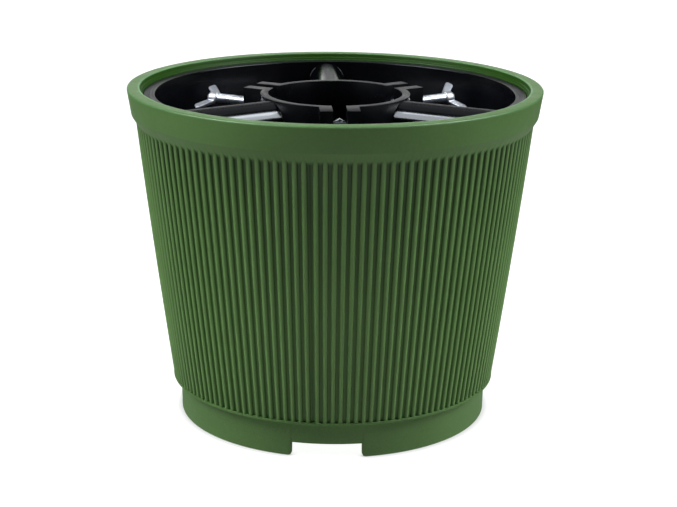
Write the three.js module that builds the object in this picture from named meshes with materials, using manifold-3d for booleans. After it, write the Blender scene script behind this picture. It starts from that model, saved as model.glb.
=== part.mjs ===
// Christmas-tree stand: a ribbed plastic pot with a black insert hung inside its rim.
// The insert's collar holds the trunk, and three wing screws clamp it through captive nuts.
// Millimetres, +Z up, origin on the floor under the centre of the pot.

import * as THREE from 'three';
import { mergeVertices } from 'three/addons/utils/BufferGeometryUtils.js';
import Module from 'manifold-3d';

const wasm = await Module();
wasm.setup();

// ---- Driving dimensions ----------------------------------------------------------------

const TURNS = 72;              // facets round a large turned surface
const GAP = 0.3;               // clearance between pieces that touch

// Pot
const RIM_RADIUS = 160;
const POT_HEIGHT = 258.9;
const RIM_WIDTH = 8.6;         // flat top of the rim, between its rounded edges
const RIM_ROUND = 1.5;
const BAND_BOTTOM = 239;       // lower edge of the plain band under the rim
const BAND_RADIUS = 156.8;
const STEP_BOTTOM = 230.4;     // foot of the sloping step under the band
const CREST_TOP = 153.0;       // rib crest radius at the step
const CREST_BOTTOM = 127.5;    // rib crest radius at the lip
const CREST_BULGE = 0.7;       // how far the wall bows out half way up
const RIB_DEPTH = 1.8;
const RIB_ROOT = 1.5;          // how far the ribs' valleys stand out of the turned wall
const RIBS_PER_HALF = 70;      // the mould has two halves
const SEAM_ANGLE = -99.6;      // degrees, where the halves meet in front
const SEAM_GAP = 3.12;         // degrees between the ribs on either side of a seam
const RIB_BASE = 0.78;         // rib width at its root, as a part of the pitch
const RIB_CREST = 0.46;        // and at its crest
const LIP_BOTTOM = 27.5;
const LIP_TOP = 29.5;
const POT_WALL = 3.2;
const LEDGE_Z = 250.2;         // ledge that carries the insert's flange
const LEDGE_RADIUS = 144.6;
const FLANGE_SEAT_RADIUS = 147.5;
const POT_FLOOR_TOP = 30.7;

// Foot ring
const FOOT_RADIUS = 121.3;
const FOOT_DRAFT = 0.4;
const FOOT_WALL = 3.6;
const NOTCH_WIDTH = 53.4;
const NOTCH_HEIGHT = 10.6;
const NOTCH_ROUND = 2.5;
const NOTCH_ANGLE = -95;       // degrees, the front notch

// Insert
const FLANGE_TOP = 253.4;
const FLANGE_THICK = 2.9;
const MOUTH_RADIUS = 138.6;
const VESSEL_WALL = 3;
const VESSEL_FLOOR_TOP = 37;
const VESSEL_FLOOR_RADIUS = 115;
const SPIKE_BOSS_RADIUS = 9;
const SPIKE_BOSS_TOP = 49;

// Collar and its bosses
const BORE_RADIUS = 51.8;
const COLLAR_RADIUS = 57.8;
const COLLAR_TOP = 252.4;
const COLLAR_BOTTOM = 228;
const BOSS_END = 73;           // distance of a boss's outer face from the axis
const BOSS_HALF_WIDTH = 15;
const BOSS_BOTTOM = 225.5;
const SLOT_WIDTH = 10.8;
const FIRST_SCREW_ANGLE = -90;

// Arms
const ARM_RADIUS = 14.8;
const ARM_TOP = 251.6;
const ARM_BOTTOM = 222;
const ARM_WALL = 3;

// Screws, heads and nuts (M8)
const SCREW_Z = 238.4;
const THREAD_RADIUS = 3.95;
const TIP_AT = 53.5;           // distance of the screw's tip from the pot's axis
const HUB_AT = 105;            // and of the head's inner face
const HUB_LENGTH = 8.6;
const HUB_RADIUS = 5.2;
const SPIGOT_RADIUS = 3.1;
const SPIGOT_LENGTH = 4.5;
const WING_SLANT = 46;         // degrees away from square to the screw
const WING_TIP_AT = 118.8;     // middle of a wing's tip, from the pot's axis
const WING_REACH = 14.4;       // and from the screw's axis
const WING_LENGTH = 16.2;
const WING_WIDTH = 6.4;
const WING_THICK = 2.8;
const WING_TURNS = [90, 54, -64];   // how far each head is turned from upright, degrees
const NUT_FLATS = 13;
const NUT_THICK = 6.5;
const NUT_AT = 63.6;

// ---- Solids ----------------------------------------------------------------------------

const radians = THREE.MathUtils.degToRad;
const v2 = (x, y) => new THREE.Vector2(x, y);

function toManifold(geometry) {
  const bare = new THREE.BufferGeometry();
  bare.setAttribute('position', geometry.getAttribute('position').clone());
  if (geometry.index) bare.setIndex(geometry.index.clone());
  const merged = mergeVertices(bare, 1e-4);
  const corners = merged.index.array;
  const triangles = [];
  for (let i = 0; i < corners.length; i += 3) {
    const [a, b, c] = corners.slice(i, i + 3);
    if (a !== b && b !== c && c !== a) triangles.push(a, b, c);
  }
  const mesh = new wasm.Mesh({
    numProp: 3,
    vertProperties: Float32Array.from(merged.getAttribute('position').array),
    triVerts: Uint32Array.from(triangles),
  });
  return new wasm.Manifold(mesh);
}

function toGeometry(manifold) {
  const mesh = manifold.getMesh();
  const geometry = new THREE.BufferGeometry();
  geometry.setAttribute('position', new THREE.BufferAttribute(mesh.vertProperties, 3));
  geometry.setIndex(new THREE.BufferAttribute(mesh.triVerts, 1));
  geometry.computeVertexNormals();
  return geometry;
}

// A solid turned round Z. The profile runs anticlockwise as (radius, z) from the axis to the axis.
function turned(profile, segments = TURNS) {
  const points = profile.map(([radius, z]) => v2(radius, z));
  const lathe = new THREE.LatheGeometry(points, segments);
  lathe.rotateX(Math.PI / 2);
  return toManifold(lathe);
}

// An extrusion of a shape drawn in (across, z), running outwards along X from x0 to x1.
function outwards(shape, x0, x1, curveSegments = 12) {
  const bar = new THREE.ExtrudeGeometry(shape, { depth: x1 - x0, bevelEnabled: false, curveSegments });
  bar.rotateX(Math.PI / 2);
  bar.rotateZ(Math.PI / 2);
  bar.translate(x0, 0, 0);
  return toManifold(bar);
}

function turnedAbout(solid, degrees) {
  return solid.rotate([0, 0, degrees]);
}

function rectangle(x0, y0, x1, y1) {
  return new THREE.Shape([v2(x0, y0), v2(x1, y0), v2(x1, y1), v2(x0, y1)]);
}

const threefold = [0, 1, 2].map((i) => FIRST_SCREW_ANGLE + 120 * i);

// ---- Pot -------------------------------------------------------------------------------

// Radius of the rib crests at a height.
function crestRadius(z) {
  const t = (z - LIP_TOP) / (STEP_BOTTOM - LIP_TOP);
  return CREST_BOTTOM + (CREST_TOP - CREST_BOTTOM) * t + 4 * CREST_BULGE * t * (1 - t);
}

function ribAngles() {
  const pitch = (180 - SEAM_GAP) / (RIBS_PER_HALF - 1);
  const angles = [];
  for (const half of [0, 180]) {
    for (let i = 0; i < RIBS_PER_HALF; i++) {
      angles.push(SEAM_ANGLE + half + SEAM_GAP / 2 + i * pitch);
    }
  }
  return { angles, pitch };
}

// The outline of all the ribs, at crest radius 1.
function ribOutline() {
  const { angles, pitch } = ribAngles();
  const valley = 1 - RIB_DEPTH / CREST_TOP;
  const points = [];
  for (const angle of angles) {
    const corners = [[-RIB_BASE, valley], [-RIB_CREST, 1], [RIB_CREST, 1], [RIB_BASE, valley]];
    for (const [side, radius] of corners) {
      const a = radians(angle + side * pitch / 2);
      points.push(v2(radius * Math.cos(a), radius * Math.sin(a)));
    }
  }
  return new THREE.Shape(points);
}

function ribbedWall() {
  const bottom = LIP_BOTTOM + 1;
  const top = BAND_BOTTOM - 3;
  const wall = new THREE.ExtrudeGeometry(ribOutline(), {
    depth: top - bottom, steps: 2, bevelEnabled: false,
  });
  wall.translate(0, 0, bottom);
  const position = wall.getAttribute('position');
  for (let i = 0; i < position.count; i++) {
    const radius = crestRadius(position.getZ(i));
    position.setX(i, position.getX(i) * radius);
    position.setY(i, position.getY(i) * radius);
  }
  return toManifold(wall);
}

function potOutside() {
  const rimInner = RIM_RADIUS - RIM_ROUND - RIM_WIDTH;
  const footTop = FOOT_RADIUS + FOOT_DRAFT;
  const lip = CREST_BOTTOM + 0.1;
  return turned([
    [0, 0],
    [FOOT_RADIUS, 0],
    [footTop, LIP_BOTTOM],
    [lip, LIP_BOTTOM],
    [lip, LIP_TOP],
    [CREST_BOTTOM - RIB_DEPTH - RIB_ROOT, LIP_TOP],
    [CREST_TOP - RIB_DEPTH - RIB_ROOT, STEP_BOTTOM],
    [BAND_RADIUS, BAND_BOTTOM],
    [RIM_RADIUS, POT_HEIGHT - RIM_ROUND],
    [RIM_RADIUS - RIM_ROUND, POT_HEIGHT],
    [rimInner, POT_HEIGHT],
    [0, POT_HEIGHT],
  ]);
}

function potInside() {
  const bottom = CREST_BOTTOM - RIB_DEPTH - POT_WALL;
  const belowLedge = LEDGE_Z - 6;
  const wallTop = STEP_BOTTOM + 4;
  const rimInner = RIM_RADIUS - RIM_ROUND - RIM_WIDTH;
  return turned([
    [0, POT_FLOOR_TOP],
    [bottom - 3, POT_FLOOR_TOP],
    [bottom, POT_FLOOR_TOP + 3],
    [crestRadius(wallTop) - RIB_DEPTH - POT_WALL, wallTop],
    [LEDGE_RADIUS, belowLedge],
    [LEDGE_RADIUS, LEDGE_Z],
    [FLANGE_SEAT_RADIUS, LEDGE_Z],
    [FLANGE_SEAT_RADIUS, FLANGE_TOP],
    [rimInner - 1.2, POT_HEIGHT - 1.2],
    [rimInner, POT_HEIGHT + 0.01],
    [rimInner, POT_HEIGHT + 5],
    [0, POT_HEIGHT + 5],
  ]);
}

function footHollow() {
  const inner = FOOT_RADIUS - FOOT_WALL;
  return turned([[0, -1], [inner, -1], [inner, LIP_BOTTOM - 1], [inner - 1, LIP_BOTTOM], [0, LIP_BOTTOM]]);
}

function footNotch() {
  const half = NOTCH_WIDTH / 2;
  const shape = new THREE.Shape();
  shape.moveTo(-half - NOTCH_ROUND, -1);
  shape.lineTo(half + NOTCH_ROUND, -1);
  shape.lineTo(half + NOTCH_ROUND, 0);
  shape.absarc(half + NOTCH_ROUND, NOTCH_ROUND, NOTCH_ROUND, -Math.PI / 2, -Math.PI, true);
  shape.lineTo(half, NOTCH_HEIGHT);
  shape.lineTo(-half, NOTCH_HEIGHT);
  shape.lineTo(-half, NOTCH_ROUND);
  shape.absarc(-half - NOTCH_ROUND, NOTCH_ROUND, NOTCH_ROUND, 0, -Math.PI / 2, true);
  return outwards(shape, FOOT_RADIUS - 20, FOOT_RADIUS + 8, 3);
}

function makePot() {
  let pot = potOutside().add(ribbedWall()).subtract(potInside()).subtract(footHollow());
  for (const i of [0, 1, 2]) {
    pot = pot.subtract(turnedAbout(footNotch(), NOTCH_ANGLE + 120 * i));
  }
  return pot;
}

// ---- Insert ----------------------------------------------------------------------------

// Inner surface of the vessel, from the axis up to its mouth, drawn in by a clearance.
function vesselInside(clearance = 0) {
  return turned([
    [0, VESSEL_FLOOR_TOP + clearance],
    [VESSEL_FLOOR_RADIUS - 3 - clearance, VESSEL_FLOOR_TOP + clearance],
    [VESSEL_FLOOR_RADIUS - clearance, VESSEL_FLOOR_TOP + 3 + clearance],
    [MOUTH_RADIUS - 0.6 - clearance, FLANGE_TOP - 4],
    [MOUTH_RADIUS - clearance, FLANGE_TOP - 0.8],
    [MOUTH_RADIUS + 1 - clearance, FLANGE_TOP + 0.01],
    [MOUTH_RADIUS + 1 - clearance, FLANGE_TOP + 5],
    [0, FLANGE_TOP + 5],
  ]);
}

function makeVessel() {
  const flangeRadius = FLANGE_SEAT_RADIUS - GAP;
  const flangeBottom = FLANGE_TOP - FLANGE_THICK;
  const floorBottom = VESSEL_FLOOR_TOP - VESSEL_WALL;
  const outside = turned([
    [0, floorBottom],
    [VESSEL_FLOOR_RADIUS, floorBottom],
    [VESSEL_FLOOR_RADIUS + VESSEL_WALL, floorBottom + 3],
    [MOUTH_RADIUS + VESSEL_WALL - 0.6, flangeBottom - 2],
    [MOUTH_RADIUS + VESSEL_WALL + 0.6, flangeBottom],
    [flangeRadius, flangeBottom],
    [flangeRadius, FLANGE_TOP],
    [0, FLANGE_TOP],
  ]);
  const boss = turned([
    [0, floorBottom + 1],
    [SPIKE_BOSS_RADIUS + 1.5, floorBottom + 1],
    [SPIKE_BOSS_RADIUS, SPIKE_BOSS_TOP],
    [0, SPIKE_BOSS_TOP],
  ], 32);
  const hole = turned([
    [0, VESSEL_FLOOR_TOP + 3],
    [SPIGOT_RADIUS + GAP, VESSEL_FLOOR_TOP + 3],
    [SPIGOT_RADIUS + GAP, SPIKE_BOSS_TOP + 1],
    [0, SPIKE_BOSS_TOP + 1],
  ], 24);
  return outside.subtract(vesselInside()).add(boss).subtract(hole);
}

function makeTrunkSpike() {
  const seat = SPIKE_BOSS_TOP + GAP;
  return turned([
    [0, VESSEL_FLOOR_TOP + 3 + GAP],
    [SPIGOT_RADIUS, VESSEL_FLOOR_TOP + 3 + GAP],
    [SPIGOT_RADIUS, seat],
    [7, seat],
    [7, seat + 1.5],
    [SPIGOT_RADIUS, seat + 1.5],
    [SPIGOT_RADIUS, seat + 26],
    [0, seat + 36],
  ], 24);
}

// A slot for the screw, open at the top, with a round bottom.
function screwSlot() {
  const half = SLOT_WIDTH / 2;
  const shape = new THREE.Shape();
  shape.moveTo(half, COLLAR_TOP + 2);
  shape.lineTo(-half, COLLAR_TOP + 2);
  shape.lineTo(-half, SCREW_Z);
  shape.absarc(0, SCREW_Z, half, Math.PI, 2 * Math.PI, false);
  return outwards(shape, BORE_RADIUS - 6, BOSS_END + 2, 6);
}

// A pocket for the nut, open below, with a wall of the boss on either side of the nut.
function nutPocket() {
  const half = NUT_FLATS / 2 + GAP;
  const corner = NUT_FLATS / Math.sqrt(3);
  const shape = rectangle(-half, BOSS_BOTTOM - 1, half, SCREW_Z + corner + GAP);
  return outwards(shape, NUT_AT - GAP, NUT_AT + NUT_THICK + GAP);
}

function makeCollar() {
  const ring = turned([
    [BORE_RADIUS, COLLAR_BOTTOM + 1],
    [BORE_RADIUS + 1, COLLAR_BOTTOM],
    [COLLAR_RADIUS - 1, COLLAR_BOTTOM],
    [COLLAR_RADIUS, COLLAR_BOTTOM + 1],
    [COLLAR_RADIUS, COLLAR_TOP],
    [BORE_RADIUS, COLLAR_TOP],
    [BORE_RADIUS, COLLAR_BOTTOM + 1],
  ]);
  const bore = turned([
    [0, BOSS_BOTTOM - 5],
    [BORE_RADIUS, BOSS_BOTTOM - 5],
    [BORE_RADIUS, COLLAR_TOP + 5],
    [0, COLLAR_TOP + 5],
  ]);
  const block = rectangle(-BOSS_HALF_WIDTH, BOSS_BOTTOM, BOSS_HALF_WIDTH, COLLAR_TOP);
  let collar = ring;
  for (const angle of threefold) {
    const boss = outwards(block, BORE_RADIUS - 8, BOSS_END).subtract(bore);
    const slotted = boss.subtract(nutPocket());
    collar = collar.add(turnedAbout(slotted, angle)).subtract(turnedAbout(screwSlot(), angle));
  }
  return collar;
}

// A round-topped channel, open below.
function armChannel() {
  const centre = ARM_TOP - ARM_RADIUS;
  const channel = new THREE.Shape();
  channel.moveTo(ARM_RADIUS, ARM_BOTTOM);
  channel.absarc(0, centre, ARM_RADIUS, 0, Math.PI, false);
  channel.lineTo(-ARM_RADIUS, ARM_BOTTOM);
  channel.lineTo(-ARM_RADIUS + ARM_WALL, ARM_BOTTOM);
  channel.absarc(0, centre, ARM_RADIUS - ARM_WALL, Math.PI, 0, true);
  channel.lineTo(ARM_RADIUS - ARM_WALL, ARM_BOTTOM);
  return channel;
}

// An arm runs between the collar and the vessel's wall, a gap short of each.
function makeArm(angle) {
  const bar = outwards(armChannel(), BORE_RADIUS, MOUTH_RADIUS + 5, 10);
  const collar = turned([
    [0, ARM_BOTTOM - 5],
    [COLLAR_RADIUS + GAP, ARM_BOTTOM - 5],
    [COLLAR_RADIUS + GAP, FLANGE_TOP + 5],
    [0, FLANGE_TOP + 5],
  ]);
  return turnedAbout(bar, angle).subtract(collar).intersect(vesselInside(GAP));
}

// ---- Screws ----------------------------------------------------------------------------

// A solid turned round X instead of Z, for what lies along a screw.
function turnedAlongX(profile, segments) {
  return turned(profile, segments).rotate([0, 90, 0]);
}

function makeShank() {
  return turnedAlongX([
    [0, TIP_AT],
    [THREAD_RADIUS - 1, TIP_AT],
    [THREAD_RADIUS, TIP_AT + 1.1],
    [THREAD_RADIUS, HUB_AT - GAP],
    [SPIGOT_RADIUS, HUB_AT - GAP],
    [SPIGOT_RADIUS, HUB_AT + SPIGOT_LENGTH],
    [0, HUB_AT + SPIGOT_LENGTH],
  ], 28);
}

// One wing plate in the XZ plane, slanting up and outwards from the screw's axis.
function makeWing() {
  const plate = new THREE.Shape();
  const half = WING_WIDTH / 2;
  const round = 1.5;
  plate.moveTo(-WING_LENGTH, -half);
  plate.lineTo(-round, -half);
  plate.quadraticCurveTo(0, -half, 0, -half + round);
  plate.lineTo(0, half - round);
  plate.quadraticCurveTo(0, half, -round, half);
  plate.lineTo(-WING_LENGTH, half);
  const blade = new THREE.ExtrudeGeometry(plate, {
    depth: WING_THICK, bevelEnabled: false, curveSegments: 3,
  });
  blade.translate(0, 0, -WING_THICK / 2);
  blade.rotateZ(radians(90 - WING_SLANT));
  blade.rotateX(Math.PI / 2);
  blade.translate(WING_TIP_AT, 0, WING_REACH);
  return toManifold(blade);
}

function makeWings() {
  const hub = turnedAlongX([
    [0, HUB_AT],
    [HUB_RADIUS - 0.6, HUB_AT],
    [HUB_RADIUS, HUB_AT + 0.6],
    [HUB_RADIUS, HUB_AT + HUB_LENGTH - 2.4],
    [HUB_RADIUS - 0.8, HUB_AT + HUB_LENGTH - 0.9],
    [HUB_RADIUS - 2.4, HUB_AT + HUB_LENGTH],
    [0, HUB_AT + HUB_LENGTH],
  ], 28);
  const socket = turnedAlongX([
    [0, HUB_AT - 1],
    [SPIGOT_RADIUS + GAP, HUB_AT - 1],
    [SPIGOT_RADIUS + GAP, HUB_AT + SPIGOT_LENGTH + GAP],
    [0, HUB_AT + SPIGOT_LENGTH + GAP],
  ], 28);
  const wing = makeWing();
  return hub.add(wing).add(wing.rotate([180, 0, 0])).subtract(socket);
}

function makeNut() {
  const corner = NUT_FLATS / Math.sqrt(3);
  const hexagon = new THREE.Shape();
  for (let i = 0; i < 6; i++) {
    const angle = Math.PI / 2 + i * Math.PI / 3;
    const move = i === 0 ? 'moveTo' : 'lineTo';
    hexagon[move](corner * Math.cos(angle), corner * Math.sin(angle));
  }
  const bore = new THREE.Path();
  bore.absarc(0, 0, THREAD_RADIUS + GAP + 0.05, 0, 2 * Math.PI, true);
  hexagon.holes.push(bore);
  return outwards(hexagon, NUT_AT, NUT_AT + NUT_THICK, 12);
}

// ---- Scene graph -----------------------------------------------------------------------

const greenPlastic = { color: '#4c7a45', roughness: 0.55, metalness: 0 };
const blackPlastic = { color: '#101215', roughness: 0.32, metalness: 0 };
const zincPlate = { color: '#c8cdd2', roughness: 0.3, metalness: 1 };

function piece(name, solid, look) {
  const mesh = new THREE.Mesh(toGeometry(solid), new THREE.MeshStandardMaterial(look));
  mesh.name = name;
  return mesh;
}

const stand = new THREE.Group();
stand.add(piece('pot', makePot(), greenPlastic));
stand.add(piece('vessel', makeVessel(), blackPlastic));
stand.add(piece('collar', makeCollar(), blackPlastic));
stand.add(piece('trunk_spike', makeTrunkSpike(), zincPlate));

threefold.forEach((angle, i) => {
  stand.add(piece(`arm_${i + 1}`, makeArm(angle + 180), blackPlastic));

  const screw = new THREE.Group();
  screw.position.z = SCREW_Z;
  screw.rotation.z = radians(angle);
  screw.add(piece(`screw_${i + 1}_shank`, makeShank(), zincPlate));

  const wings = piece(`screw_${i + 1}_wings`, makeWings(), zincPlate);
  wings.rotation.x = radians(-WING_TURNS[i]);
  screw.add(wings);
  stand.add(screw);

  const nutHolder = new THREE.Group();
  nutHolder.rotation.z = radians(angle);
  const nut = piece(`nut_${i + 1}`, makeNut(), zincPlate);
  nut.position.z = SCREW_Z;
  nutHolder.add(nut);
  stand.add(nutHolder);
});

export default stand;
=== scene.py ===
"""A Christmas-tree stand: its looks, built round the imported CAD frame.

Shapes are drawn in millimetres and turned into metres as each piece is made.
+Z is up, the front wing screw points towards -Y, and the origin is on the floor.
"""

import math

import bmesh
import bpy
import numpy as np
from mathutils import Matrix, Vector


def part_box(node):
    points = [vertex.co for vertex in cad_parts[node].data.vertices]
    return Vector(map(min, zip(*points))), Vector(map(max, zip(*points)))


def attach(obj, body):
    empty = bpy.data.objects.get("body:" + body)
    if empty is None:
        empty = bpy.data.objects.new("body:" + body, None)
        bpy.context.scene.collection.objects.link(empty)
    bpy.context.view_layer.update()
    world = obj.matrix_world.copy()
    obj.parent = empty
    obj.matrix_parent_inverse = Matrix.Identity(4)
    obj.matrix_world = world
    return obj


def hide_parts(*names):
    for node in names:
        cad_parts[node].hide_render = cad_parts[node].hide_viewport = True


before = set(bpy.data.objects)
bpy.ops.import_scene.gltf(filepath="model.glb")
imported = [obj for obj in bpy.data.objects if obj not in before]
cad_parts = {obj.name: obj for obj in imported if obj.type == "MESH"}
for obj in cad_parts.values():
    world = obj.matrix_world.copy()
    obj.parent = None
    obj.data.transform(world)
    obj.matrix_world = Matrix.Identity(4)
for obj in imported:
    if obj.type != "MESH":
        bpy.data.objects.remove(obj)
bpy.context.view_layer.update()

MM = 0.001


def corners_of(node):
    low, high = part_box(node)
    return low / MM, high / MM


# ---- Places and sizes from the frame, in millimetres -------------------------------------

_, pot_high = corners_of("pot")
vessel_low, vessel_high = corners_of("vessel")
collar_low, collar_high = corners_of("collar")
shank_low, shank_high = corners_of("screw_1_shank")
_, head_high = corners_of("screw_1_wings")
nut_low, nut_high = corners_of("nut_1")
arm_low, arm_high = corners_of("arm_1")
spike_low, spike_high = corners_of("trunk_spike")

RIM_RADIUS = pot_high.x
POT_HEIGHT = pot_high.z
FLANGE_RADIUS = vessel_high.x
FLANGE_TOP = vessel_high.z
VESSEL_BOTTOM = vessel_low.z
COLLAR_TOP = collar_high.z
BOSS_BOTTOM = collar_low.z
BOSS_END = -collar_low.y
SCREW_Z = (shank_low.z + shank_high.z) / 2
THREAD_RADIUS = shank_high.x
TIP_AT = -shank_high.y         # TIP_AT, HUB_AT and NUT_AT are distances from the stand's axis
HUB_AT = -head_high.y
NUT_AT = -nut_high.y
NUT_THICK = nut_high.y - nut_low.y
NUT_FLATS = nut_high.x - nut_low.x
ARM_RADIUS = arm_high.x
ARM_TOP = arm_high.z
ARM_BOTTOM = arm_low.z
SCREW_ANGLES = (-90, 30, 150)

# ---- Sizes of the details ----------------------------------------------------------------

# Pot
BAND_BOTTOM = 239.0
BAND_RADIUS = 156.8
STEP_SLOPE = 0.625            # run over rise of the sloping step under the band
STEP_CREST_Z = 233.4          # where a rib's crest meets the step
CREST_TOP = 153.3             # radius of the ribs' crests at the step
CREST_BOTTOM = 127.5          # and at the lip
CREST_BULGE = 0.7             # how far the crests bow out half-way up
RIB_DEPTH = 1.95
RIB_SHARE = 0.66              # width of a rib as a share of its pitch
RIB_COLUMNS = 9               # columns of vertices across a rib
RIB_ROWS = 8
RIBS_PER_HALF = 70
SEAM_ANGLE = -99.6
SEAM_GAP = 3.12               # degrees between the ribs on either side of a seam
RIB_PITCH = (180 - SEAM_GAP) / (RIBS_PER_HALF - 1)
FLASH_WIDTH = 0.22            # from a seam to either edge of its flash
FLASH_HEIGHT = 0.2            # as a share of a rib's height
LIP_BOTTOM = 27.5
LIP_TOP = 29.5
FOOT_RADIUS = 121.3
FOOT_INNER = 117.7
NOTCH_HALF = 26.7             # half the width of a notch in the foot ring
NOTCH_HEIGHT = 10.6
NOTCH_ROUND = 2.5
NOTCH_ANGLES = (-95, 25, 145)
LEDGE_RADIUS = 144.6
SEAT_RADIUS = 147.5
RIM_INNER = 149.9
BEAD_Z = FLANGE_TOP + 1.3     # a low bead round the inside of the rim, over the flange
POT_WALL = 3.2
POT_FLOOR = 30.7
WALL_TOP = POT_HEIGHT - 25    # where the inner wall starts to narrow to the ledge
MIDDLE_RING = 30.0            # a ring of vertices in each floor, against sliver triangles

# Insert
MOUTH_RADIUS = 138.6
FLANGE_THICK = 2.9
LEDGE_Z = FLANGE_TOP - FLANGE_THICK - 0.3
VESSEL_WALL = 3.0
VESSEL_FLOOR = 37.0
FLOOR_RADIUS = 115.0
SPIKE_BOSS_RADIUS = 9.0
SPIKE_BOSS_TOP = 49.0
SPIKE_HOLE_FLOOR = VESSEL_FLOOR + 3
BORE_RADIUS = 51.8
COLLAR_RADIUS = 57.8
COLLAR_BOTTOM = 228.0
COLLAR_EDGE = 0.25            # bevel on the collar's edges
BOSS_HALF_WIDTH = 15.0
SLOT_WIDTH = 10.8
NUT_GAP = 0.3                 # all round a nut in its pocket
SLOT_OVERCUT = 3.0            # how far the shapes that cut stick out of what they cut
POCKET_OVERCUT = 2.0
BORE_OVERCUT = 5.0
ARM_WALL = 3.0
ARM_FILLET = 1.1              # where an arm meets the collar and the vessel's wall
ARM_SUNK = 0.4                # how far an arm's ends reach into the collar and the wall

# Screws
PITCH = 1.25
THREAD_DEPTH = 0.64
THREAD_COLUMNS = 28
# Points of one turn of thread: (share of the pitch, depth under the crest)
THREAD_FORM = ((0.0, THREAD_DEPTH), (0.22, THREAD_DEPTH), (0.5, 0.0), (0.72, 0.0))
END_CHAMFER = 1.0
HUB_RADIUS = 5.2
HUB_LENGTH = 8.6
HUB_HOLDS = 3.0               # length of shank inside the hub
WING_SLANT = 46.0             # degrees that a wing leans outwards from the hub's end plane
WING_TIP_AT = 118.8           # distance of a wing's tip from the stand's axis
WING_REACH = 14.4             # and from the screw's axis
WING_LENGTH = 16.2
WING_WIDTH = 6.4
WING_THICK = 2.8
WING_SECTIONS = (             # (share of the length, of the width, of the thickness)
    (0, 0.8, 1.15), (0.3, 0.92, 1.05), (0.6, 1.0, 0.95),
    (0.85, 1.02, 0.85), (0.95, 0.9, 0.72), (1.0, 0.62, 0.5),
)
WING_POINTS = 16
WING_SQUARENESS = (0.32, 0.4)  # exponents of a section's outline: 1 is an ellipse, 0 a box
WING_TURNS = (90, 54, -64)    # degrees that each head is turned about its screw
CAST_GRID = 0.33              # voxel size that melts the hub and wings into one casting
NUT_ROUNDING = 0.9            # how far down a nut's corners are turned away
NUT_CHAMFER = 1.7
SPIKE_RADIUS = 3.1
SPIKE_WASHER = 7.0
SPIKE_POINT = 11.0            # length of the spike's tapering end

# Camera: places in metres, turns in degrees, lens and sensor in millimetres
CAMERA_DISTANCE = 1.2927
CAMERA_HEIGHT = 0.4938
CAMERA_TURN = -3.1            # round the stand, to the left of its front
CAMERA_YAW = 0.166
CAMERA_PITCH = 15.987
CAMERA_ROLL = 0.565
CAMERA_LENS = 90.16
SENSOR_WIDTH = 36

# Surroundings: (direction, cosine where the light starts, cosine where it is full, strength)
WORLD_SOURCES = (
    ((0, 1, 0), 0.90, 0.97, 1.05),
    ((0, 0, 1), 0.0, 0.3, 0.03),
    ((0, 0, -1), -0.01, 0.60, 0.47),
)

# Lamps: (name, direction, width, height, power, whether only gloss sees it)
SOFTBOXES = (
    ("right_softbox", (0.80, -0.06, 0.58), 2.4, 2.4, 160, False),
    ("left_softbox", (-0.76, -0.04, 0.64), 2.6, 2.6, 180, False),
    ("ceiling", (0, 0.42, 0.91), 6.0, 4.0, 20, True),
    ("right_gloss", (0.70, -0.36, 0.60), 2.6, 2.8, 235, True),
    ("left_gloss", (-0.69, -0.34, 0.63), 2.6, 2.8, 200, True),
)
LAMP_COLOUR = (0.95, 0.975, 1.0)
LAMP_DISTANCE = 5             # metres from the point on the stand's axis that they look at
LAMP_AIM = POT_HEIGHT * MM * 0.7

# Studio floor
STAGE_RADIUS = 9000
STAGE_Z = -0.05
CONTACT_REACH = 0.009         # metres from the foot within which the floor darkens
GLOW_AT_FOOT = 0.50           # the floor's emission strength under the foot's edge
GLOW_IN_OPEN = 0.96           # and away from it

# Colours
WHITE = (1, 1, 1, 1)
FLOOR_DARK = (0.30, 0.30, 0.30, 1)
FLOOR_LIGHT = (0.33, 0.33, 0.33, 1)
GREEN_DEEP = (0.112, 0.255, 0.056, 1)
GREEN_LIGHT = (0.135, 0.290, 0.070, 1)
GREEN_MOTTLE = (0.155, 0.320, 0.088, 1)
GREEN_SCUFFED = (0.20, 0.44, 0.19, 1)
# painted highlight on the rim's rounded edges
GREEN_EDGE_HIGHLIGHT = (0.25, 0.59, 0.23, 1)
GREEN_SPECKLE = (0.18, 0.40, 0.10, 1)
# painted shade in the valleys between the ribs
GREEN_VALLEY_SHADE = (0.036, 0.095, 0.017, 1)
# painted highlight on the ribs' crests
GREEN_CREST_HIGHLIGHT = (0.23, 0.46, 0.125, 1)
# partly a polished finish, partly painted shade inside the pot
GREEN_POLISHED_PAINTED_SHADE = (0.036, 0.118, 0.013, 1)
BLACK_DEEP = (0.0026, 0.0028, 0.0042, 1)
BLACK_LIGHT = (0.0046, 0.0050, 0.0068, 1)
BLACK_DUSTY = (0.050, 0.050, 0.050, 1)
BLACK_GLINT = (0.90, 0.94, 1.0, 1)
ZINC_DULL = (0.40, 0.43, 0.48, 1)
ZINC_PALE = (0.55, 0.57, 0.60, 1)
ZINC_STAIN = (0.28, 0.30, 0.33, 1)


# ---- Mesh helpers ------------------------------------------------------------------------

def circle(count, offset=0.0):
    return np.arange(count) * (2 * math.pi / count) + math.radians(offset)


def rounded(corners, steps=4):
    """A line through (x, y, reach) corners, each rounded off over its reach."""
    points = [np.array(c[:2], float) for c in corners]
    line = []
    for i, (_, _, *reach) in enumerate(corners):
        if not reach or i in (0, len(corners) - 1):
            line.append(points[i])
            continue
        here, before, after = points[i], points[i - 1], points[i + 1]
        start = here + (before - here) / np.linalg.norm(before - here) * reach[0]
        end = here + (after - here) / np.linalg.norm(after - here) * reach[0]
        for s in np.linspace(0, 1, steps + 1):
            line.append(start * (1 - s) ** 2 + here * 2 * s * (1 - s) + end * s * s)
    return [tuple(p) for p in line]


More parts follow.
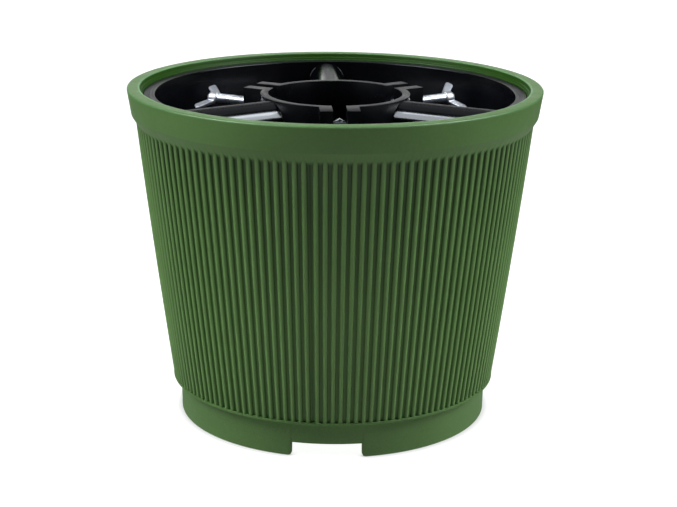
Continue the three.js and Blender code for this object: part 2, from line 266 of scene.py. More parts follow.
def turned(angles, profile, closed=False):
    """A surface round Z. The profile is (radius, z) pairs, each a number or one value per angle,
    and runs anticlockwise, so that its faces look outwards."""
    count = len(angles)
    cos, sin = np.cos(angles), np.sin(angles)
    vertices, rings = [], []
    for radius, z in profile:
        first = len(vertices)
        if np.isscalar(radius) and radius == 0:
            vertices.append((0.0, 0.0, z))
            rings.append([first] * count)
        else:
            radius, z = np.broadcast_to(radius, count), np.broadcast_to(z, count)
            vertices.extend(zip(radius * cos, radius * sin, z))
            rings.append(list(range(first, first + count)))
    if closed:
        rings.append(rings[0])
    faces = []
    for lower, upper in zip(rings, rings[1:]):
        for j in range(count):
            k = (j + 1) % count
            face = [lower[j], lower[k], upper[k], upper[j]]
            if lower[j] == lower[k]:
                face.pop(0)
            elif upper[j] == upper[k]:
                face.pop()
            faces.append(face)
    return vertices, faces


def lofted(loops):
    """A solid through closed loops of points, all of one length, with its two ends capped."""
    count = len(loops[0])
    vertices = [tuple(p) for loop in loops for p in loop]
    faces = [list(range(count))[::-1]]
    for i in range(len(loops) - 1):
        for j in range(count):
            k = (j + 1) % count
            faces.append([i * count + j, i * count + k, (i + 1) * count + k, (i + 1) * count + j])
    last = (len(loops) - 1) * count
    faces.append([last + j for j in range(count)])
    return vertices, faces


def raw_object(name, shape):
    vertices, faces = shape
    mesh = bpy.data.meshes.new(name)
    mesh.from_pydata([tuple(float(c) for c in v) for v in vertices], [], faces)
    mesh.validate()
    obj = bpy.data.objects.new(name, mesh)
    bpy.context.scene.collection.objects.link(obj)
    return obj


def applied(obj):
    """Turns an object's modifiers into its mesh."""
    graph = bpy.context.evaluated_depsgraph_get()
    mesh = bpy.data.meshes.new_from_object(obj.evaluated_get(graph))
    obj.modifiers.clear()
    obj.data = mesh
    return obj


def combined(obj, others, operation):
    for other in others:
        step = obj.modifiers.new("cut", "BOOLEAN")
        step.operation = operation
        step.solver = "EXACT"
        step.object = other
        applied(obj)
        bpy.data.objects.remove(other)
    return obj


def bevelled(obj, width, angle=35):
    step = obj.modifiers.new("bevel", "BEVEL")
    step.width = width
    step.segments = 2
    step.limit_method = "ANGLE"
    step.angle_limit = math.radians(angle)
    step.use_clamp_overlap = True
    return applied(obj)


def transformed(obj, matrix):
    obj.data.transform(matrix)
    return obj


def facing_out(obj):
    """Joins vertices that coincide and turns every face outwards."""
    mesh = bmesh.new()
    mesh.from_mesh(obj.data)
    bmesh.ops.remove_doubles(mesh, verts=mesh.verts, dist=0.0005)
    bmesh.ops.recalc_face_normals(mesh, faces=mesh.faces)
    mesh.to_mesh(obj.data)
    mesh.free()
    return obj


def finished(obj, material, body, nodes, smooth_angle=32):
    """Puts a piece in metres, shades it, hangs it on the body it rides on, and hides the frame's
    parts it stands for.
    """
    obj.data.transform(Matrix.Scale(MM, 4))
    obj.data.shade_smooth()
    obj.data.set_sharp_from_angle(angle=math.radians(smooth_angle))
    obj.data.materials.clear()
    obj.data.materials.append(material)
    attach(obj, body)
    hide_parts(*nodes)
    return obj


def outwards_from(angle):
    """A turn about Z that takes +X to a direction given in degrees."""
    return Matrix.Rotation(math.radians(angle), 4, "Z")


# ---- Materials ---------------------------------------------------------------------------

class Nodes:
    """Short calls for building one material."""

    def __init__(self, name):
        self.material = bpy.data.materials.new(name)
        self.material.use_nodes = True
        self.tree = self.material.node_tree
        self.shader = self.tree.nodes["Principled BSDF"]
        coordinates = self.tree.nodes.new("ShaderNodeTexCoord")
        self.place = coordinates.outputs["Object"]
        self.facing = coordinates.outputs["Normal"]

    def shade(self, socket, value):
        """Links a node's output to the shader, or sets a constant on the shader's own socket."""
        if isinstance(value, bpy.types.NodeSocket):
            self.tree.links.new(value, self.shader.inputs[socket])
        else:
            self.shader.inputs[socket].default_value = value

    def add(self, kind, inputs=(), **settings):
        node = self.tree.nodes.new("ShaderNode" + kind)
        for key, value in settings.items():
            setattr(node, key, value)
        for socket, value in dict(inputs).items():
            if isinstance(value, bpy.types.NodeSocket):
                self.tree.links.new(value, node.inputs[socket])
            else:
                node.inputs[socket].default_value = value
        return node

    def position(self):
        """The surface's x, y and z and its distance from the stand's axis, in millimetres."""
        scale = {"Scale": 1 / MM, 0: self.place}
        place = self.add("VectorMath", scale, operation="SCALE").outputs["Vector"]
        x, y, z = self.add("SeparateXYZ", {0: place}).outputs
        level = self.add("CombineXYZ", {"X": x, "Y": y}).outputs[0]
        return x, y, z, self.add("VectorMath", {0: level}, operation="LENGTH").outputs["Value"]

    def noise(self, scale, detail=3.0, roughness=0.5, vector=None):
        inputs = {"Vector": vector or self.place, "Scale": scale, "Detail": detail,
                  "Roughness": roughness}
        return self.add("TexNoise", inputs).outputs["Fac"]

    def spread(self, value, low, high, to_low=0.0, to_high=1.0):
        """value from low..high taken to to_low..to_high, and held there."""
        inputs = {"Value": value, "From Min": low, "From Max": high,
                  "To Min": to_low, "To Max": to_high}
        return self.add("MapRange", inputs).outputs["Result"]

    def math(self, operation, a, b=0.0):
        return self.add("Math", {0: a, 1: b}, operation=operation).outputs[0]

    def product(self, result, *factors):
        for factor in factors:
            result = self.math("MULTIPLY", result, factor)
        return result

    def blend(self, factor, a, b):
        """From colour a, where the factor is 0, to colour b, where it is 1."""
        node = self.add("Mix", data_type="RGBA")
        for socket, value in (("Factor_Float", factor), ("A_Color", a), ("B_Color", b)):
            target = next(s for s in node.inputs if s.identifier == socket)
            if isinstance(value, bpy.types.NodeSocket):
                self.tree.links.new(value, target)
            else:
                target.default_value = value
        return next(s for s in node.outputs if s.identifier == "Result_Color")

    def bump(self, height, strength, distance, normal=None):
        inputs = {"Height": height, "Strength": strength, "Distance": distance}
        if normal:
            inputs["Normal"] = normal
        return self.add("Bump", inputs).outputs["Normal"]


def green_plastic():
    m = Nodes("green_polypropylene")
    _, _, z, radius = m.position()
    colour = m.blend(m.spread(m.noise(14.0, 2.0), 0.35, 0.65), GREEN_DEEP, GREEN_LIGHT)
    mottle = m.spread(m.noise(420.0, 4.0, 0.65), 0.42, 0.72, 0.0, 0.35)
    colour = m.blend(mottle, colour, GREEN_MOTTLE)

    # Handling scuffs the rim's top, and a painted highlight lightens its inner and outer edges.
    rim = m.spread(z, POT_HEIGHT - 2.2, POT_HEIGHT - 0.4)
    scuffs = m.spread(m.noise(190.0, 5.0, 0.7), 0.5, 0.68, 0.0, 0.45)
    colour = m.blend(m.product(rim, scuffs), colour, GREEN_SCUFFED)
    inner_edge = m.product(m.spread(radius, RIM_INNER - 0.1, RIM_INNER + 0.2),
                           m.spread(radius, RIM_INNER + 2.0, RIM_INNER + 1.2))
    outer_edge = m.spread(radius, RIM_RADIUS - 2.2, RIM_RADIUS - 1.0, 0.0, 0.45)
    on_top = m.spread(z, POT_HEIGHT - 2.0, POT_HEIGHT - 1.0, 0.0, 0.62)
    edges = m.product(m.math("ADD", inner_edge, outer_edge), on_top)
    colour = m.blend(edges, colour, GREEN_EDGE_HIGHLIGHT)

    # The foot ring is coarser, with pale speckles.
    foot = m.spread(z, LIP_BOTTOM + 0.5, LIP_BOTTOM - 0.5)
    speckle = m.spread(m.noise(1500.0, 2.0), 0.45, 0.75, 0.0, 0.6)
    colour = m.blend(m.product(foot, speckle), colour, GREEN_SPECKLE)

    # Painted shade darkens the valleys between the ribs, more towards the top, and a painted
    # highlight makes their crests paler, more towards the bottom.
    crest = m.spread(z, LIP_TOP, STEP_CREST_Z, CREST_BOTTOM, CREST_TOP)
    sunk = m.math("SUBTRACT", crest, radius)
    ribbed = m.product(m.spread(z, STEP_CREST_Z, STEP_CREST_Z - 4),
                       m.spread(z, LIP_TOP, LIP_TOP + 2))
    valley = m.product(m.spread(sunk, 0.2, 1.2), m.spread(sunk, 3.0, 2.4))
    valley_shade = m.product(valley, ribbed, m.spread(z, 100, 230, 0.14, 0.85))
    crest_highlight = m.product(m.spread(sunk, 0.6, -0.2), ribbed, m.spread(z, 30, 200, 0.85, 0.50))
    colour = m.blend(valley_shade, colour, GREEN_VALLEY_SHADE)
    colour = m.blend(crest_highlight, colour, GREEN_CREST_HIGHLIGHT)

    # The inside comes off a polished mould, with no haze from a grained face; its deeper green is
    # partly that finish and partly painted shade inside the pot.
    inside = m.product(m.spread(radius, RIM_INNER + 0.35, RIM_INNER - 0.05),
                       m.spread(z, LIP_TOP - 0.5, LIP_TOP + 0.5),
                       m.spread(z, LEDGE_Z - 1.0, LEDGE_Z))
    m.shade("Base Color", m.blend(inside, colour, GREEN_POLISHED_PAINTED_SHADE))
    m.shade("Specular IOR Level", m.spread(inside, 0.0, 1.0, 0.5, 0.12))

    roughness = m.spread(m.noise(60.0, 3.0), 0.3, 0.7, 0.40, 0.50)
    roughness = m.math("ADD", roughness, m.spread(foot, 0.0, 1.0, 0.0, 0.14))
    m.shade("Roughness", m.math("ADD", roughness, m.spread(rim, 0.0, 1.0, 0.0, -0.03)))
    flow = m.bump(m.noise(90.0, 2.0), 0.25, 0.0006)
    m.shade("Normal", m.bump(m.noise(1900.0, 3.0, 0.6), 0.32, 0.00012, flow))
    return m.material


def black_plastic(name, smoothest, roughest, wall_gloss=0.5):
    """Glossy off the mould, but satin and faintly turned on the faces that look straight up."""
    m = Nodes(name)
    x, y, _, radius = m.position()
    around = m.math("ARCTAN2", y, x)
    rings = m.add("CombineXYZ", {"X": m.product(radius, 0.9), "Y": m.product(around, 2.5)})
    streaks = m.noise(1.0, 4.0, 0.6, rings.outputs[0])
    drift = m.noise(30.0, 3.0)
    lean = m.add("SeparateXYZ", {0: m.facing}).outputs["Z"]
    flat = m.spread(lean, 0.90, 0.985)

    colour = m.blend(m.spread(drift, 0.3, 0.7), BLACK_DEEP, BLACK_LIGHT)
    dust = m.spread(m.noise(900.0, 4.0, 0.7), 0.48, 0.68)
    m.shade("Base Color", m.blend(m.product(flat, dust), colour, BLACK_DUSTY))

    polished = m.spread(drift, 0.3, 0.7, smoothest, roughest)
    satin = m.math("ADD", m.spread(drift, 0.3, 0.7, 0.30, 0.36),
                   m.spread(streaks, 0.40, 0.62, 0.0, 0.16))
    m.shade("Roughness", m.add("Mix", {0: flat, 2: polished, 3: satin}).outputs[0])
    m.shade("Specular IOR Level", m.spread(flat, 0.0, 1.0, wall_gloss, 0.5))
    m.shade("Specular Tint", BLACK_GLINT)
    relief = m.bump(m.product(streaks, flat), 0.3, 0.00010)
    m.shade("Normal", m.bump(m.noise(1600.0, 3.0), 0.08, 0.00006, relief))
    return m.material


def zinc_plate(name, smoothest, roughest, grain_scale=2400.0, grain_strength=0.15):
    m = Nodes(name)
    colour = m.blend(m.spread(m.noise(160.0, 3.0), 0.3, 0.7), ZINC_DULL, ZINC_PALE)
    stain = m.spread(m.noise(420.0, 5.0, 0.7), 0.62, 0.8, 0.0, 0.5)
    m.shade("Base Color", m.blend(stain, colour, ZINC_STAIN))
    m.shade("Roughness", m.spread(m.noise(700.0, 4.0), 0.3, 0.7, smoothest, roughest))
    m.shade("Metallic", 0.85)
    m.shade("Normal", m.bump(m.noise(grain_scale, 3.0), grain_strength, 0.00015))
    return m.material


GREEN = green_plastic()
BLACK = black_plastic("black_polypropylene", 0.15, 0.20, wall_gloss=0.26)
MATT_BLACK = black_plastic("black_polypropylene_collar", 0.24, 0.30, wall_gloss=0.2)
GLOSS_BLACK = black_plastic("black_polypropylene_arm", 0.10, 0.15)
ZINC = zinc_plate("zinc_on_thread", 0.26, 0.34)
BRIGHT_ZINC = zinc_plate("zinc_on_steel", 0.14, 0.22)
CAST_ZINC = zinc_plate("zinc_on_casting", 0.40, 0.55, grain_scale=1300.0, grain_strength=0.3)


# ---- Pot ---------------------------------------------------------------------------------

def rib_height(angles):
    """Height of the ribbed wall at each angle, from 0 in a valley to 1 on a crest."""
    along = np.mod(np.degrees(angles) - SEAM_ANGLE, 180)
    index = np.clip(np.round((along - SEAM_GAP / 2) / RIB_PITCH), 0, RIBS_PER_HALF - 1)
    across = np.abs(along - SEAM_GAP / 2 - index * RIB_PITCH) / (RIB_PITCH / 2 * RIB_SHARE)
    rib = np.sqrt(np.clip(1 - across ** 2, 0, None))
    from_seam = np.radians(np.minimum(along, 180 - along)) * CREST_BOTTOM
    flash = FLASH_HEIGHT * np.clip(1 - from_seam / FLASH_WIDTH, 0, None)
    return np.maximum(rib, flash)


def pot_angles():
    """Columns round the pot: on every rib, in every valley, at the seams and the notches' ends."""
    bends = np.sin(np.radians(np.linspace(-90, 90, RIB_COLUMNS))) * RIB_SHARE
    flash = math.degrees(FLASH_WIDTH / CREST_BOTTOM)
    angles = []
    for seam in (SEAM_ANGLE, SEAM_ANGLE + 180):
        for i in range(RIBS_PER_HALF):
            centre = seam + SEAM_GAP / 2 + i * RIB_PITCH
            angles.extend(centre + bends * RIB_PITCH / 2)
            if i < RIBS_PER_HALF - 1:
                angles.append(centre + RIB_PITCH / 2)
        angles.extend([seam - flash, seam, seam + flash])
    for notch in NOTCH_ANGLES:
        for side in (-1, 1):
            for step in (-0.03, 0.03, 0.15, 0.5, 1.1, 1.8, NOTCH_ROUND):
                away = math.degrees(math.asin((NOTCH_HALF + step) / FOOT_RADIUS))
                angles.append(notch + side * away)
    return np.radians(np.unique(np.round(np.mod(angles, 360), 3)))


def foot_edge(angles):
    """Height of the foot ring's lower edge at each angle."""
    edge = np.zeros(len(angles))
    for notch in NOTCH_ANGLES:
        turn = np.mod(angles - math.radians(notch) + math.pi, 2 * math.pi) - math.pi
        away = np.abs(FOOT_RADIUS * np.sin(turn)) - NOTCH_HALF
        near = np.abs(turn) < math.pi / 2
        fall = np.sqrt(np.clip(NOTCH_ROUND ** 2 - (NOTCH_ROUND - away) ** 2, 0, None))
        edge = np.where(near & (away >= 0) & (away < NOTCH_ROUND), NOTCH_ROUND - fall, edge)
        edge = np.where(near & (away < 0), NOTCH_HEIGHT, edge)
    return edge


def crest_radius(z):
    t = (z - LIP_TOP) / (STEP_CREST_Z - LIP_TOP)
    return CREST_BOTTOM + (CREST_TOP - CREST_BOTTOM) * t + 4 * CREST_BULGE * t * (1 - t)


def foot_profile(angles):
    """From the middle of the underside out over the foot ring and up to the lip's top."""
    edge = foot_edge(angles)
    foot_top = FOOT_RADIUS + 0.4
    return [
        (0, LIP_BOTTOM), (MIDDLE_RING, LIP_BOTTOM),
        (FOOT_INNER - 1.5, LIP_BOTTOM), (FOOT_INNER - 0.3, LIP_BOTTOM - 0.4),
        (FOOT_INNER, LIP_BOTTOM - 1.5), (FOOT_INNER, edge + 0.4), (FOOT_INNER + 0.4, edge),
        (FOOT_RADIUS - 0.6, edge), (FOOT_RADIUS - 0.15, edge + 0.15), (FOOT_RADIUS, edge + 0.6),
        (foot_top, LIP_BOTTOM - 1.0), (foot_top + 0.3, LIP_BOTTOM - 0.3),
        (foot_top + 1.0, LIP_BOTTOM),
        (CREST_BOTTOM - 0.2, LIP_BOTTOM), (CREST_BOTTOM + 0.15, LIP_BOTTOM + 0.35),
        (CREST_BOTTOM + 0.2, LIP_TOP - 0.4), (CREST_BOTTOM + 0.05, LIP_TOP),
    ]


def rib_profile(angles):
    """The ribbed wall. A valley meets the sloping step lower than the crests beside it."""
    sunk = RIB_DEPTH * (1 - rib_height(angles))
    wall_slope = (CREST_TOP - CREST_BOTTOM) / (STEP_CREST_Z - LIP_TOP)
    rib_end = STEP_CREST_Z - sunk / (STEP_SLOPE - wall_slope)
    heights = [LIP_TOP + share * (rib_end - LIP_TOP) for share in np.linspace(0, 1, RIB_ROWS)]
    profile = [(crest_radius(z) - sunk, z) for z in heights[:-1]]
    return profile + [(BAND_RADIUS - STEP_SLOPE * (BAND_BOTTOM - rib_end), rib_end)]


def band_and_inside_profile():
    """From the band's lower edge over the rim, down past the ledge and in along the floor."""
    inner_wall = CREST_BOTTOM - RIB_DEPTH - POT_WALL
    profile = rounded([
        (BAND_RADIUS - STEP_SLOPE * 3, BAND_BOTTOM - 3),
        (BAND_RADIUS, BAND_BOTTOM, 0.8),
        (RIM_RADIUS, POT_HEIGHT - 0.2, 1.5),
        (RIM_RADIUS - 5, POT_HEIGHT, 2.5),
        (RIM_INNER, POT_HEIGHT, 1.2),
        (RIM_INNER - 0.4, BEAD_Z + 1.3),
        (RIM_INNER - 1.3, BEAD_Z + 0.5, 0.3),
        (RIM_INNER - 1.4, BEAD_Z - 0.5, 0.3),
        (SEAT_RADIUS + 0.5, BEAD_Z - 1.1),
        (SEAT_RADIUS, FLANGE_TOP + 0.3, 0.2),
        (SEAT_RADIUS, LEDGE_Z),
        (LEDGE_RADIUS, LEDGE_Z),
        (LEDGE_RADIUS, LEDGE_Z - 6),
        (crest_radius(WALL_TOP) - RIB_DEPTH - POT_WALL, WALL_TOP),
        (inner_wall, POT_FLOOR + 3, 2.5),
        (inner_wall - 3, POT_FLOOR),
        (MIDDLE_RING, POT_FLOOR),
    ], steps=3)
    # The first point lies on the step and only gives the band's edge its direction.
    return profile[1:] + [(0, POT_FLOOR)]


def make_pot():
    angles = pot_angles()
    profile = foot_profile(angles) + rib_profile(angles) + band_and_inside_profile()
    obj = raw_object("ribbed_pot", turned(angles, profile))
    return finished(obj, GREEN, "stand", ["pot"], smooth_angle=38)


# ---- Insert ------------------------------------------------------------------------------

def vessel_radius(z):
    """Inner radius of the vessel's wall at a height."""
    t = (z - VESSEL_FLOOR) / (FLANGE_TOP - VESSEL_FLOOR)
    return FLOOR_RADIUS + (MOUTH_RADIUS - FLOOR_RADIUS) * t


def make_vessel():
    flange_bottom = FLANGE_TOP - FLANGE_THICK
    profile = rounded([
        (0, VESSEL_BOTTOM),
        (FLOOR_RADIUS + VESSEL_WALL - 1, VESSEL_BOTTOM, 3),
        (MOUTH_RADIUS + VESSEL_WALL, flange_bottom - 2.5),
        (MOUTH_RADIUS + VESSEL_WALL, flange_bottom, 1.2),
        (FLANGE_RADIUS, flange_bottom, 0.5),
        (FLANGE_RADIUS, FLANGE_TOP, 0.5),
        (MOUTH_RADIUS, FLANGE_TOP, 0.7),
        (FLOOR_RADIUS, VESSEL_FLOOR, 5),
        (SPIKE_BOSS_RADIUS + 1.5, VESSEL_FLOOR, 2),
        (SPIKE_BOSS_RADIUS, SPIKE_BOSS_TOP, 0.8),
        (SPIKE_RADIUS + 0.9, SPIKE_BOSS_TOP),
        (SPIKE_RADIUS + 0.3, SPIKE_HOLE_FLOOR),
        (0, SPIKE_HOLE_FLOOR),
    ])
    obj = raw_object("insert_vessel", turned(circle(256), profile))
    return finished(obj, BLACK, "stand", ["vessel"])


def block(x0, x1, half, z0, z1):
    corners = [(-half, z0), (half, z0), (half, z1), (-half, z1)]
    return lofted([[(x, y, z) for y, z in corners] for x in (x0, x1)])


def slot_shape():
    """What a screw's slot takes out of its boss: round below, and open above."""
    half = SLOT_WIDTH / 2
    outline = [(half * math.cos(a), SCREW_Z + half * math.sin(a))
               for a in np.linspace(math.pi, 2 * math.pi, 13)]
    outline += [(half, COLLAR_TOP + SLOT_OVERCUT), (-half, COLLAR_TOP + SLOT_OVERCUT)]
    ends = (BORE_RADIUS - 2 * SLOT_OVERCUT, BOSS_END + SLOT_OVERCUT)
    return lofted([[(x, y, z) for y, z in outline] for x in ends])


def pocket_shape():
    """What a nut's pocket takes out, from below up to just over the nut."""
    top = SCREW_Z + NUT_FLATS / math.sqrt(3) + NUT_GAP
    return block(NUT_AT - NUT_GAP, NUT_AT + NUT_THICK + NUT_GAP, NUT_FLATS / 2 + NUT_GAP,
                 BOSS_BOTTOM - POCKET_OVERCUT, top)


def make_collar():
    around = circle(120, 1.5)
    ring = turned(around, [(BORE_RADIUS, COLLAR_BOTTOM), (COLLAR_RADIUS, COLLAR_BOTTOM),
                           (COLLAR_RADIUS, COLLAR_TOP), (BORE_RADIUS, COLLAR_TOP)], closed=True)
    collar = raw_object("insert_collar", ring)
    low, high = BOSS_BOTTOM - BORE_OVERCUT, COLLAR_TOP + BORE_OVERCUT
    bore = turned(around, [(0, low), (BORE_RADIUS, low), (BORE_RADIUS, high), (0, high)])
    bosses, cuts = [], [raw_object("bore", bore)]
    boss_shape = block(BORE_RADIUS + 2, BOSS_END, BOSS_HALF_WIDTH, BOSS_BOTTOM, COLLAR_TOP)
    for angle in SCREW_ANGLES:
        turn = outwards_from(angle)
        bosses.append(transformed(raw_object("boss", boss_shape), turn))
        cuts.append(transformed(raw_object("slot", slot_shape()), turn))
        cuts.append(transformed(raw_object("pocket", pocket_shape()), turn))
    combined(collar, bosses, "UNION")
    combined(collar, cuts, "DIFFERENCE")
    bevelled(facing_out(collar), COLLAR_EDGE)
    return finished(collar, MATT_BLACK, "stand", ["collar"])


def arm_outline():
    """Points and outward directions round the arm's section: the top, then the hollow below.
    The hollow's points have no direction, because the fillet only widens the outside."""
    centre = ARM_TOP - ARM_RADIUS
    inner = ARM_RADIUS - ARM_WALL
    sweep = [(math.cos(a), math.sin(a)) for a in np.radians(np.linspace(0, 180, 33))]
    outer = [(ARM_RADIUS * c, centre + ARM_RADIUS * s, c, s) for c, s in sweep]
    hollow = [(inner * c, centre + inner * s, 0, 0) for c, s in sweep[::-4]]
    return ([(ARM_RADIUS, ARM_BOTTOM, 1, 0)] + outer
            + [(-ARM_RADIUS, ARM_BOTTOM, -1, 0), (-inner, ARM_BOTTOM, 0, 0)]
            + hollow + [(inner, ARM_BOTTOM, 0, 0)])


def arm_stations():
    """(share of the arm's length, fillets further on, flare), from the collar to the wall."""
    fillet = [(1 - s, 1 - math.sqrt(max(0.0, 1 - s * s)))
              for s in np.sin(np.radians(np.linspace(0, 90, 7)))]
    stations = [(0, further, flare) for further, flare in fillet[::-1]]
    stations += [(share, 1 - 2 * share, 0) for share in np.linspace(0.1, 0.9, 9)]
    return stations + [(1, -further, flare) for further, flare in fillet]


def make_arm(index, angle):
    """The arm's section run out along X, with a fillet where it meets the collar and the wall."""
    loops = []
    for share, further, flare in arm_stations():
        loop = []
        # The fillets stay just under the collar's top and the flange's.
        ceiling = FLANGE_TOP - 0.5 if share else COLLAR_TOP - 0.3
        for y, z, out_y, out_z in arm_outline():
            y += out_y * flare * ARM_FILLET
            z = min(z + out_z * flare * ARM_FILLET, ceiling)
            start = math.sqrt(COLLAR_RADIUS ** 2 - y * y) - ARM_SUNK
            end = math.sqrt(vessel_radius(z) ** 2 - y * y) + ARM_SUNK
            loop.append((start + (end - start) * share + further * ARM_FILLET, y, z))
        loops.append(loop)
    arm = raw_object(f"insert_arm_{index}", lofted(loops))
    transformed(facing_out(arm), outwards_from(angle))
    nodes = [f"arm_{index}"]
    return finished(arm, GLOSS_BLACK, "stand", nodes, smooth_angle=50)


# ---- Screws ------------------------------------------------------------------------------

def placed_on_screw(obj, angle, turn=0.0):
    """Takes a shape whose axis is +Z at the pot's axis to a screw's line, pointing outwards."""
    lay_down = Matrix.Rotation(math.radians(90), 4, "Y")
    spin = Matrix.Rotation(math.radians(turn), 4, "X")
    lift = Matrix.Translation((0, 0, SCREW_Z))
    return transformed(obj, outwards_from(angle) @ lift @ spin @ lay_down)


def threaded_rod(start, end, radius):
    """A rod along +Z whose rows of points run round it as a helix."""
    angles = circle(THREAD_COLUMNS)
    lag = angles / (2 * math.pi) * PITCH
    vertices = []
    for turn in range(-1, int((end - start) / PITCH) + 3):
        for share, depth in THREAD_FORM:
            z = np.clip(start + (turn + share) * PITCH - lag, start, end)
            chamfer = np.minimum(z - start, end - z) + radius - END_CHAMFER
            reach = np.minimum(radius - depth, chamfer)
            vertices.extend(zip(reach * np.cos(angles), reach * np.sin(angles), z))
    faces = []
    for i in range(len(vertices) // THREAD_COLUMNS - 1):
        for j in range(THREAD_COLUMNS):
            # The last column joins the first column one turn of thread back.
            k = (j + 1) % THREAD_COLUMNS
            other = i if k else i - len(THREAD_FORM)
            if other >= 0:
                here, there = i * THREAD_COLUMNS, other * THREAD_COLUMNS
                faces.append([here + j, there + k, there + THREAD_COLUMNS + k,
                              here + THREAD_COLUMNS + j])
    return vertices, faces


def make_shank(index, angle):
    rod = threaded_rod(TIP_AT, HUB_AT + HUB_HOLDS, THREAD_RADIUS)
    obj = raw_object(f"threaded_shank_{index}", rod)
    mesh = bmesh.new()
    mesh.from_mesh(obj.data)
    bmesh.ops.remove_doubles(mesh, verts=mesh.verts, dist=0.003)
    bmesh.ops.dissolve_degenerate(mesh, dist=0.001, edges=mesh.edges)
    bmesh.ops.holes_fill(mesh, edges=[e for e in mesh.edges if e.is_boundary], sides=0)
    bmesh.ops.recalc_face_normals(mesh, faces=mesh.faces)
    mesh.to_mesh(obj.data)
    mesh.free()
    placed_on_screw(obj, angle)
    nodes = [f"screw_{index}_shank"]
    return finished(obj, ZINC, f"screw_{index}", nodes, smooth_angle=25)


def squared(wave, exponent):
    """A sine or cosine flattened towards -1 and 1."""
    return math.copysign(abs(wave) ** exponent, wave)


def wing_blade(side):
    """One wing in the plane of the screw's axis (here Z) and X, thinner and rounder at its tip."""
    slant = math.radians(WING_SLANT)
    along = Vector((math.cos(slant), 0, math.sin(slant)))
    across = Vector((-along.z, 0, along.x))
    tip = Vector((WING_REACH, 0, WING_TIP_AT))
    loops = []
    for share, width, thick in WING_SECTIONS:
        centre = tip - along * WING_LENGTH * (1 - share)
        half_width, half_thick = WING_WIDTH / 2 * width, WING_THICK / 2 * thick
        loop = []
        for a in circle(WING_POINTS):
            p = centre + across * (squared(math.cos(a), WING_SQUARENESS[0]) * half_width)
            y = squared(math.sin(a), WING_SQUARENESS[1]) * half_thick
            loop.append((side * p.x, side * y, p.z))
        loops.append(loop)
    return lofted(loops)


def make_head(index, angle, turn):
    hub_end = HUB_AT + HUB_LENGTH
    hub = turned(circle(40), rounded([
        (0, HUB_AT),
        (HUB_RADIUS - 0.1, HUB_AT, 0.7),
        (HUB_RADIUS, HUB_AT + 3, 1.5),
        (HUB_RADIUS - 0.3, hub_end - 1.6, 1.8),
        (HUB_RADIUS - 2.6, hub_end, 1.0),
        (0, hub_end),
    ]))
    head = raw_object(f"wing_head_{index}", hub)
    wings = [facing_out(raw_object("wing", wing_blade(side))) for side in (1, -1)]
    combined(head, wings, "UNION")
    fuse = head.modifiers.new("cast", "REMESH")
    fuse.mode = "VOXEL"
    fuse.voxel_size = CAST_GRID
    applied(head)
    soften = head.modifiers.new("soften", "SMOOTH")
    soften.factor = 0.5
    soften.iterations = 3
    applied(head)
    placed_on_screw(head, angle, -turn)
    body, nodes = f"wing_head_{index}", [f"screw_{index}_wings"]
    return finished(head, CAST_ZINC, body, nodes, smooth_angle=180)


def make_nut(index, angle):
    corner = NUT_FLATS / math.sqrt(3)
    flat = NUT_FLATS / 2
    end = NUT_AT + NUT_THICK
    hexagon = [(corner * math.cos(a), corner * math.sin(a)) for a in circle(6)]
    prism = lofted([[(x, y, z) for x, y in hexagon] for z in (NUT_AT, end)])
    nut = raw_object(f"hex_nut_{index}", prism)
    lens = turned(circle(48, 3.75), [
        (0, NUT_AT - 0.1), (flat - 0.2, NUT_AT - 0.1), (corner + 0.3, NUT_AT + NUT_ROUNDING),
        (corner + 0.3, end - NUT_ROUNDING), (flat - 0.2, end + 0.1), (0, end + 0.1),
    ])
    combined(nut, [raw_object("lens", lens)], "INTERSECT")
    inner = THREAD_RADIUS - 0.1
    bore = turned(circle(48), [
        (0, NUT_AT - 1), (inner + NUT_CHAMFER, NUT_AT - 1), (inner, NUT_AT - 1 + NUT_CHAMFER),
        (inner, end + 1 - NUT_CHAMFER), (inner + NUT_CHAMFER, end + 1), (0, end + 1),
    ])
    combined(nut, [raw_object("bore", bore)], "DIFFERENCE")
    bevelled(facing_out(nut), 0.15, angle=20)
    placed_on_screw(nut, angle)
    return finished(nut, BRIGHT_ZINC, "stand", [f"nut_{index}"])


def make_spike():
    seat = SPIKE_BOSS_TOP + 0.3
    washer_top = seat + 1.5
    profile = rounded([
        (0, spike_low.z),
        (SPIKE_RADIUS, spike_low.z, 0.4),
        (SPIKE_RADIUS, seat),
        (SPIKE_WASHER, seat, 0.3),
        (SPIKE_WASHER, washer_top, 0.4),
        (SPIKE_RADIUS + 0.5, washer_top, 0.6),
        (SPIKE_RADIUS, washer_top + 2.5, 0.8),
        (SPIKE_RADIUS, spike_high.z - SPIKE_POINT, 1.5),
        (0.35, spike_high.z - 0.4, 0.3),
        (0, spike_high.z),
    ])
    obj = raw_object("trunk_spike_turned", turned(circle(48), profile))
    return finished(obj, BRIGHT_ZINC, "stand", ["trunk_spike"])


make_pot()
make_vessel()
make_collar()
make_spike()
for number, (screw_angle, wing_turn) in enumerate(zip(SCREW_ANGLES, WING_TURNS), 1):
    make_arm(number, screw_angle + 180)
    make_shank(number, screw_angle)
    make_head(number, screw_angle, wing_turn)
    make_nut(number, screw_angle)


# ---- Floor, light and camera -------------------------------------------------------------

def make_floor():
    """A pale floor that glows evenly, less so where the stand's foot shades it."""
    floor = raw_object("floor", turned(circle(96), [(0, STAGE_Z), (STAGE_RADIUS, STAGE_Z)]))
    floor.data.transform(Matrix.Scale(MM, 4))
    m = Nodes("pale_floor")
    tone = m.spread(m.noise(3.0, 2.0), 0.3, 0.7)
    m.shade("Base Color", m.blend(tone, FLOOR_DARK, FLOOR_LIGHT))
    m.shade("Roughness", 0.7)
    m.shade("Emission Color", WHITE)
    contact = m.add("AmbientOcclusion", {"Distance": CONTACT_REACH}).outputs["AO"]
    glow = m.spread(contact, 0.45, 0.9, GLOW_AT_FOOT, GLOW_IN_OPEN)
    m.shade("Emission Strength", glow)
    floor.data.materials.append(m.material)
    floor.visible_diffuse = False
    floor.visible_glossy = False


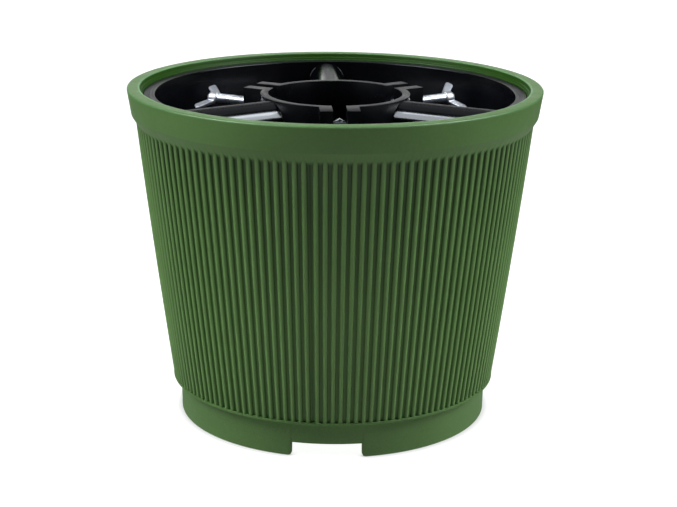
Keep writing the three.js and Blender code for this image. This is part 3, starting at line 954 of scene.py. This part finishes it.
def add_softbox(name, direction, width, height, power, gloss_only):
    """A rectangular lamp that looks from a direction at the stand's upper part."""
    lamp = bpy.data.lights.new(name, "AREA")
    lamp.shape = "RECTANGLE"
    lamp.size, lamp.size_y = width, height
    lamp.energy = power
    lamp.color = LAMP_COLOUR
    obj = bpy.data.objects.new(name, lamp)
    towards = Vector(direction).normalized()
    obj.location = Vector((0, 0, LAMP_AIM)) + towards * LAMP_DISTANCE
    obj.rotation_euler = towards.to_track_quat("Z", "Y").to_euler()
    obj.visible_diffuse = not gloss_only
    bpy.context.scene.collection.objects.link(obj)


def make_world():
    """A studio's surroundings: a lit backdrop behind the stand, a faint glow above, and light
    thrown up by a pale floor."""
    world = bpy.data.worlds.new("studio")
    bpy.context.scene.world = world
    world.use_nodes = True
    nodes, links = world.node_tree.nodes, world.node_tree.links
    direction = nodes.new("ShaderNodeTexCoord").outputs["Generated"]
    total = None
    for towards, start, full, strength in WORLD_SOURCES:
        facing = nodes.new("ShaderNodeVectorMath")
        facing.operation = "DOT_PRODUCT"
        facing.inputs[1].default_value = Vector(towards).normalized()
        links.new(direction, facing.inputs[0])
        ramp = nodes.new("ShaderNodeMapRange")
        ramp.interpolation_type = "SMOOTHSTEP"
        for socket, value in (("From Min", start), ("From Max", full), ("To Max", strength)):
            ramp.inputs[socket].default_value = value
        links.new(facing.outputs["Value"], ramp.inputs["Value"])
        if total:
            add = nodes.new("ShaderNodeMath")
            links.new(total, add.inputs[0])
            links.new(ramp.outputs["Result"], add.inputs[1])
            total = add.outputs[0]
        else:
            total = ramp.outputs["Result"]
    # Seen directly, past the edge of the floor, the studio is as pale as the floor.
    seen = nodes.new("ShaderNodeMath")
    seen.operation = "MAXIMUM"
    links.new(nodes.new("ShaderNodeLightPath").outputs["Is Camera Ray"], seen.inputs[0])
    links.new(total, seen.inputs[1])
    links.new(seen.outputs[0], nodes["Background"].inputs["Strength"])
    nodes["Background"].inputs["Color"].default_value = WHITE


def make_camera():
    heading = math.radians(CAMERA_YAW - CAMERA_TURN)
    pitch, roll = math.radians(CAMERA_PITCH), math.radians(CAMERA_ROLL)
    level = Vector((math.cos(heading), -math.sin(heading), 0))
    ahead = Vector((math.sin(heading), math.cos(heading), 0))
    forward = ahead * math.cos(pitch) - Vector((0, 0, math.sin(pitch)))
    upright = level.cross(forward)
    right = level * math.cos(roll) + upright * math.sin(roll)
    up = upright * math.cos(roll) - level * math.sin(roll)
    camera = bpy.data.objects.new("camera", bpy.data.cameras.new("camera"))
    camera.data.lens = CAMERA_LENS
    camera.data.sensor_width = SENSOR_WIDTH
    place = outwards_from(CAMERA_TURN) @ Vector((0, -CAMERA_DISTANCE, CAMERA_HEIGHT))
    turn = Matrix((right, up, -forward)).transposed().to_4x4()
    camera.matrix_world = Matrix.Translation(place) @ turn
    bpy.context.scene.collection.objects.link(camera)
    bpy.context.scene.camera = camera


make_floor()
make_world()
for softbox in SOFTBOXES:
    add_softbox(*softbox)
make_camera()
bpy.context.scene.view_settings.view_transform = "Standard"
